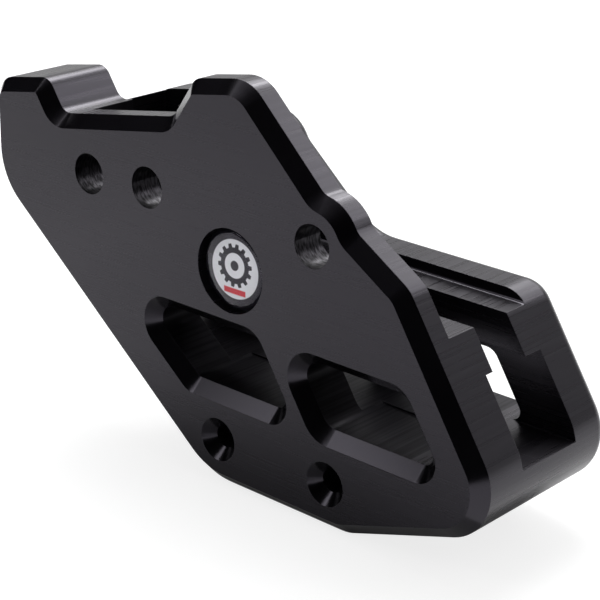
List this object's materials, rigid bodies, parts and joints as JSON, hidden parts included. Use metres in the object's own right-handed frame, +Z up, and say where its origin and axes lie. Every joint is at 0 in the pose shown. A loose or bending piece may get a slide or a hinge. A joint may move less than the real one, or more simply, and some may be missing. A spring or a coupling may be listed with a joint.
{
  "type": "chain guide",
  "caption": "Black machined plastic chain guide in two halves, with a lug slot, a chain channel through it, bevelled windows and a round badge.",
  "frame": {"origin": "on the front mounting bolt's axis, midway across the guide", "axes": "+X rearward along the chain, +Y from the outer side to the inner side, +Z up"},
  "size_m": [0.1584, 0.048, 0.1007],
  "materials": {
    "guide_plastic": "machined, satin black",
    "badge_print": "printed",
    "badge_resin": "clear, glossy"
  },
  "bodies": {
    "root": {"outer_half": "guide_plastic", "inner_half": "guide_plastic", "badge_disc": "badge_print", "badge_dome": "badge_resin"}
  },
  "joints": []
}
